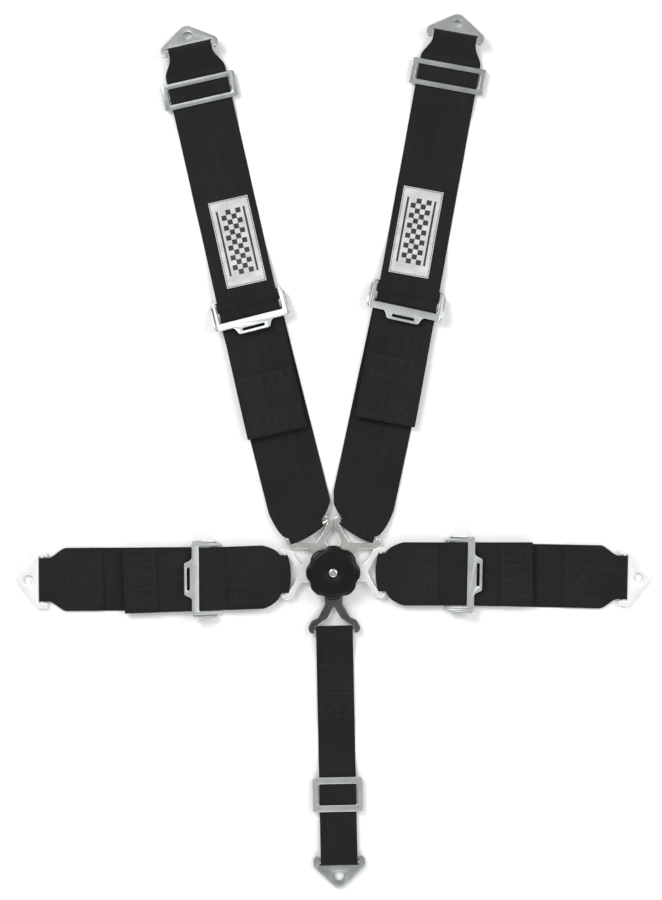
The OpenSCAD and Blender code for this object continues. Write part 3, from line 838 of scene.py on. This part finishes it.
def bracket(side, reach=BRACKET_REACH):
    joint = side + "_bracket_swing"
    x, y, z = joint_point(joint)
    front = hinge_front(joint)
    axis = MOUNTS[side + "_bolt_hole"]["axis"]
    tilt = math.atan2(axis[0] * front[0] + axis[1] * front[1], axis[2])
    # the lap brackets take the zinc copy with painted highlight, the crotch bracket the copy with painted
    # shade
    part(side + "_bracket_plate", bracket_meshes(reach), Place((x, y), front).matrix(z, tilt),
         MAT[{"lap": "zinc_painted_highlight", "cro": "zinc_painted_shade"}.get(side[:3], "zinc")], side + "_bracket",
         side + "_bracket")


def adjuster(side):
    joint = side + "_adjuster_tilt"
    x, y, z = joint_point(joint)
    place = Place((x, y), hinge_front(joint))
    part(side + "_adjuster_frame", adjuster_meshes(), place.matrix(z, -ADJUSTER_LEAN),
         MAT["adjuster"], side + "_adjuster", side + "_adjuster")
    part(side + "_lock_plate", lock_bar_meshes(), place.matrix(z), MAT["lock"],
         side + "_lock_bar", side + "_lock_bar")


def lower_strap(side):
    """Shoulder webbing from the tongue to the adjuster's rear bar."""
    bar = Vector(joint_point(side + "_lower_swing")[:2])
    tongue_dir = Vector(JOINTS[side + "_tongue_pull"]["axis"][:2])
    rear = Vector(joint_point(side + "_adjuster_tilt")[:2])
    strap_dir = Vector(JOINTS[side + "_lock_bar_float"]["axis"][:2])
    tongue_n = Vector((-tongue_dir.y, tongue_dir.x))
    strap_n = Vector((-strap_dir.y, strap_dir.x))
    # the strap's middle line meets the line of the crossbar at 'start'
    offset = (rear - bar).dot(strap_n) / tongue_n.dot(strap_n)
    start = bar + tongue_n * offset
    length = (rear - start).length
    inner_is_left = strap_dir.x > 0
    own_side = 1 if inner_is_left else -1

    def spot(x):
        lean = smooth(x, 4, 48)
        across = (tongue_n * (1 - lean) + strap_n * lean).normalized()
        point = start + (strap_dir if x > 0 else tongue_dir) * x
        return point, across

    def widths(x):
        inside = NARROW + (WIDE - NARROW) * swell(x, 6, 25)
        outside = NARROW + (WIDE - NARROW) * swell(x, 6, 36)
        point, across = spot(x)
        # neither shoulder strap comes nearer to the middle line than STRAP_GAP
        inside = min(inside, (point.x * own_side - STRAP_GAP) / abs(across.x))
        return (inside, outside) if inner_is_left else (outside, inside)

    def bow(x, t):
        return -2.4 * (1 - smooth(x, 6, 20)) * (1 - t * t)

    def puckers(x, t, z):
        near = smooth(x, 2, 12) * (1 - smooth(x, 34, 78))
        return near * (0.75 * math.cos(9.5 * t) + 0.45 * math.cos(17 * t + 1.0)) + 0.45 * near

    bar_c, rear_c = (0.0, TONGUE_Z), (length, REAR_Z)
    p_in, p_out = (42.0, LOW), (50.0, DOUBLE)
    r_in, r_out = (length - 10, LOW), (length - 12, LOOP_END)
    rear_loop = shifted(flipped(wrap((0, REAR_Z), (10, LOW), (12, LOOP_END))), length)
    path = [(70.0, LOW), p_in, *wrap(bar_c, p_in, p_out), p_out, (75.0, DOUBLE), (88.0, LOW), r_in,
            *rear_loop, r_out, (length - 18, DOUBLE), (length - 62, DOUBLE)]
    path = soften(resample(path), lambda x, z: x < 12 or x > length - 22)
    body = side + "_lower"
    web(side + "_lower_web", path, spot, widths, MAT["web"], body, side + "_lower_webbing",
        puckers, 1.7 if inner_is_left else 5.2, bow)
    stitch_lines(side + "_lower_seam", spot, seam_on(DOUBLE), zigzag(78.0, 84.0, 33.0, 12), body)
    stitch_lines(side + "_lower_seam_back", spot, seam_on(DOUBLE),
                 box_cross(length - 58, length - 46, 33.0), body)


def creases(x, t, z):
    """Folds where webbing is drawn over the lock bar, just behind an adjuster's front bar."""
    if z < PASS - 1.5:
        return 0.0
    bent = 1.0 + 0.8 * math.sin(2.2 * t)
    return (1.5 * math.exp(-((x - 17.5 - bent) / 2.2) ** 2) + 2.1 * math.exp(-((x - 7.5 + bent) / 2.6) ** 2)
            + 1.0 * math.exp(-((x + 4.5) / 2.8) ** 2))


def upper_strap(side):
    """Shoulder webbing from its hemmed tail, through the adjuster and the slide, to the bracket."""
    x, y, _ = joint_point(side + "_adjuster_tilt")
    away = JOINTS[side + "_upper_adjust"]["axis"]
    place = Place((x, y), (-away[0], -away[1]))
    eye = joint_point(side + "_bracket_swing")
    far = (Vector(eye[:2]) - place.o).length
    s = SLIDE_AT[side]
    hem0, hem1 = HEM_SPAN[side]
    p_out, p_in = (-(s + 25), OVER_SLIDE), (-(s + 25), LOOP_END)
    c = (-far, eye[2])
    path = [(hem0, HEM), (hem1, HEM), (hem1 + 0.5, HEM - 0.35), (hem1 + 0.5, PASS + 0.35), (hem1, PASS),
            (-25.0, PASS), (-60.0, LOW), (-(s - 48), LOW), (-(s - 36), OVER_SLIDE), p_out,
            *reversed(wrap(c, p_in, p_out)), p_in, (-(s - 32), LOOP_END)]
    held = lambda px, pz: px > hem0 - 14 or px < -(s + 20) or (px < -(s - 34) and pz < 3.9)
    path = soften(resample(path), held, 14)

    def widths(px):
        half = BRACKET_NARROW + (UPPER - BRACKET_NARROW) * smooth(px, -far + 7, -far + 30)
        return half, half

    web(side + "_upper_web", path, straight(place), widths, MAT["web"], side + "_upper",
        side + "_upper_webbing", creases, 9.1 if x < 0 else 12.4)
    stitch_lines(side + "_tail_seam", straight(place), seam_on(HEM),
                 zigzag(hem0 + 6, hem0 + 26, 33.0, 10) + zigzag(hem1 - 24, hem1 - 6, 33.0, 10),
                 side + "_upper")
    under_label = [(-px, pz) for px, pz in path if -s + 40 < px < 60 and LOW - 0.1 < pz < HEM - 0.3]
    label(side, place, under_label)
    slide_place = Place(place.at(-s), place.d)
    # the shoulder slides take the zinc copy with painted shade
    part(side + "_slide_frame", slide_meshes(32, 92, 19, 78), slide_place.matrix(), MAT["zinc_painted_shade"],
         side + "_slide", side + "_slide")
    bracket(side)


def label(side, place, run):
    """Blank patch that follows the webbing's top face; run is the webbing's path behind it."""
    low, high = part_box(side + "_label")
    centre = Vector(((low[0] + high[0]) / 2 / MM, (low[1] + high[1]) / 2 / MM)) - place.o
    middle, shift = centre.dot(place.d), centre.dot(place.n)
    half_l, half_w, thick = 53.5, 24.5, 0.5
    xs, zs = zip(*sorted(run))

    def surface(x):
        return float(np.interp(-x, xs, zs)) + WEB_T / 2 + 0.22

    bm = bmesh.new()
    layer = bm.verts.layers.float_vector.new("strap")
    rows = []
    nx, ny = 72, 30
    for i in range(nx + 1):
        x = middle - half_l + 2 * half_l * i / nx
        row = []
        for face in (1, 0):
            for j in (range(ny + 1) if face else reversed(range(ny + 1))):
                y = shift - half_w + 2 * half_w * j / ny
                p = place.at(x, y)
                wave = 0.16 * noise.noise(Vector((x * 0.09, y * 0.08, 2.0 if place.o.x < 0 else 6.0)))
                lift = (thick + abs(wave)) if face else 0.0
                vert = bm.verts.new((p.x * MM, p.y * MM, (surface(x) + lift) * MM))
                vert[layer] = Vector(((y - shift) * MM, (x - middle + half_l) * MM, 0.0))
                row.append(vert)
        rows.append(row)
    skin(bm, rows)
    cap_strip(bm, rows[0])
    cap_strip(bm, rows[-1])
    bmesh.ops.recalc_face_normals(bm, faces=bm.faces)
    mesh = mesh_from(bm, side + "_label_patch")
    mesh.shade_smooth()
    mesh.set_sharp_from_angle(angle=math.radians(50))
    obj = new_object(side + "_label_patch", mesh, MAT["label"])
    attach(obj, side + "_upper")
    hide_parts(side + "_label")
    y0, y1 = shift - half_w + 1.3, shift + half_w - 1.3
    x0, x1 = middle - half_l + 1.3, middle + half_l - 1.3
    edge = [[(x0, y0), (x1, y0)], [(x1, y0), (x1, y1)], [(x1, y1), (x0, y1)], [(x0, y1), (x0, y0)]]
    stitch_lines(side + "_label_seam", straight(place), lambda x: surface(x) + thick + 0.1, edge,
                 side + "_upper", 3.2)


def lap_arm(side, tongue_body, tongue_axis):
    """Lap belt: inner webbing from the tongue, outer webbing from the adjuster to the bracket."""
    bar = joint_point(side + "_inner_swing")
    x, y, _ = joint_point(side + "_adjuster_tilt")
    inner = Place((x, y), JOINTS[side + "_outer_adjust"]["axis"])
    gap = (Vector((x, y)) - Vector(bar[:2])).dot(inner.d)
    shift = (Vector(bar[:2]) - inner.o).dot(inner.n)
    tongue(side, tongue_body, tongue_axis, Vector(bar[:2]).length)
    adjuster(side)
    bar_c = (-gap, TONGUE_Z)
    p_in, p_out = (-32.0, PASS), (-44.0, HEM)
    end = LAP_TAIL[side]
    path = [(end - LAP_HEM, HEM), (end, HEM), (end + 0.5, HEM - 0.35), (end + 0.5, PASS + 0.35),
            (end, PASS), p_in, *wrap(bar_c, p_in, p_out), p_out, (-11.0, HEM)]
    path = soften(resample(path), lambda px, pz: px < -gap + 10 or px > 40, 6)

    def inner_widths(px):
        ease = swell(px, -gap + 6.5, -gap + 28)
        return (NARROW + shift + (WIDE - NARROW - shift) * ease,
                NARROW - shift + (WIDE - NARROW + shift) * ease)

    def puckers(px, t, pz):
        near = smooth(px, -gap + 3, -gap + 12) * (1 - smooth(px, -gap + 26, -gap + 48))
        return near * (0.40 * math.cos(9.5 * t) + 0.3 * math.cos(17 * t + 1.0)) + (
            creases(px, t, pz) if pz > PASS + 0.5 and px < 40 else 0.0)

    def bow(px, t):
        return -3.4 * (1 - smooth(px, -gap + 6, -gap + 22)) * (1 - t * t)

    web(side + "_inner_web", path, straight(inner), inner_widths, MAT["web_lap"], side + "_inner",
        side + "_inner_webbing", puckers, 20.3 if x < 0 else 23.9, bow)
    top = lambda px: HEM + WEB_T / 2 + 0.06
    stitch_lines(side + "_inner_seam", straight(inner), top,
                 zigzag(-gap + 33, -22.0, 31.0, 8) + zigzag(end - 34, end - 7, 34.0, 10), side + "_inner")
    outer = Place((x, y), hinge_front(side + "_adjuster_tilt"))
    eye = joint_point(side + "_bracket_swing")
    far = (Vector(eye[:2]) - outer.o).length
    rear_loop = wrap((0, REAR_Z), (10, LOW), (12, LOOP_END))
    e_in, e_out = (-10.0, LOW), (-14.0, DOUBLE + 0.6)
    eye_loop = shifted(flipped(wrap((0, eye[2]), *flipped([e_in, e_out]))), far)
    path = [(62.0, DOUBLE), (18.0, DOUBLE), (12.0, LOOP_END), *reversed(rear_loop), (10.0, LOW),
            (far - 10, LOW), *eye_loop, (far - 14, DOUBLE + 0.6), (far - 24, DOUBLE), (far - 75, DOUBLE)]
    path = resample(path)

    def outer_widths(px):
        half = BRACKET_NARROW + (WIDE - BRACKET_NARROW) * smooth(far - px, 7, 30)
        return half, half

    web(side + "_outer_web", path, straight(outer), outer_widths, MAT["web_lap"], side + "_outer",
        side + "_outer_webbing", None, 31.0 if x < 0 else 35.5)
    stitch_lines(side + "_outer_seam", straight(outer), seam_on(DOUBLE), box_cross(far - 70, far - 32, 28.0),
                 side + "_outer")
    bracket(side)


def crotch_arm():
    axis = JOINTS["crotch_tongue_pull"]["axis"]
    place = Place((0, 0), axis)
    bar_x = (Vector(joint_point("crotch_strap_swing")[:2])).dot(place.d)
    tongue("crotch", "crotch_tongue", axis, bar_x)
    eye = joint_point("crotch_bracket_swing")
    far = (Vector(eye[:2])).dot(place.d)
    s = CROTCH_SLIDE_AT
    p_in, p_out = (100.0, LOW), (106.0, DOUBLE)
    e_top, e_low = (s + 34 - far, OVER_SLIDE), (s + 34 - far, LOOP_END)
    eye_loop = shifted(flipped(wrap((0, eye[2]), *flipped([e_low, e_top]))), far)
    path = [(178.0, LOW), p_in, *wrap((bar_x, TONGUE_Z), p_in, p_out), p_out, (182.0, DOUBLE),
            (194.0, LOW), (s - 48, LOW), (s - 36, OVER_SLIDE), (s + 34, OVER_SLIDE), *reversed(eye_loop),
            (s + 34, LOOP_END), (s - 33, LOOP_END)]
    held = lambda px, pz: px < bar_x + 12 or px > s + 20 or (px > s - 34 and pz < 3.9)
    path = soften(resample(path), held, 10)
    web("crotch_web", path, straight(place), lambda px: (CROTCH, CROTCH), MAT["web"], "crotch_strap",
        "crotch_webbing", None, 41.0)
    stitch_lines("crotch_seam", straight(place), seam_on(DOUBLE),
                 box_cross(112.0, 142.0, 18.0) + box_cross(148.0, 176.0, 18.0), "crotch_strap")
    part("crotch_slide_frame", slide_meshes(42.5, 61, 25.5, 47.5), Place(place.at(s), place.d).matrix(),
         MAT["zinc"], "crotch_slide", "crotch_slide")
    bracket("crotch", CROTCH_BRACKET_REACH)


def buckle():
    flat = Matrix.Scale(MM, 4)
    part("knob_cap", knob_meshes(), flat, MAT["knob"], "knob", "knob")
    part("spindle_head", spindle_meshes(), flat, MAT["spindle"], "buckle", "spindle")
    for name in ("base_plate", "buckle_housing"):
        frame["nodes"][name].data.materials.clear()
        frame["nodes"][name].data.materials.append(MAT["body"])
    for name, obj in frame["nodes"].items():
        if name.startswith("latch_") or name in ("inner_cover", "release_cam", "return_spring",
                                                 "housing_screws", "fixed_tongue_pin"):
            obj.data.materials.clear()
            obj.data.materials.append(MAT["inner"])


def build():
    make_camera()
    make_studio()
    buckle()
    for side in ("shoulder_left", "shoulder_right"):
        tongue(side, side + "_tongue", JOINTS[side + "_tongue_pull"]["axis"],
               Vector(joint_point(side + "_lower_swing")[:2]).length)
        lower_strap(side)
        adjuster(side)
        upper_strap(side)
    for side in ("lap_left", "lap_right"):
        own = side + "_tongue" in frame["bodies"]
        lap_arm(side, side + "_tongue" if own else "buckle", hinge_front(side + "_inner_swing"))
    crotch_arm()


build()
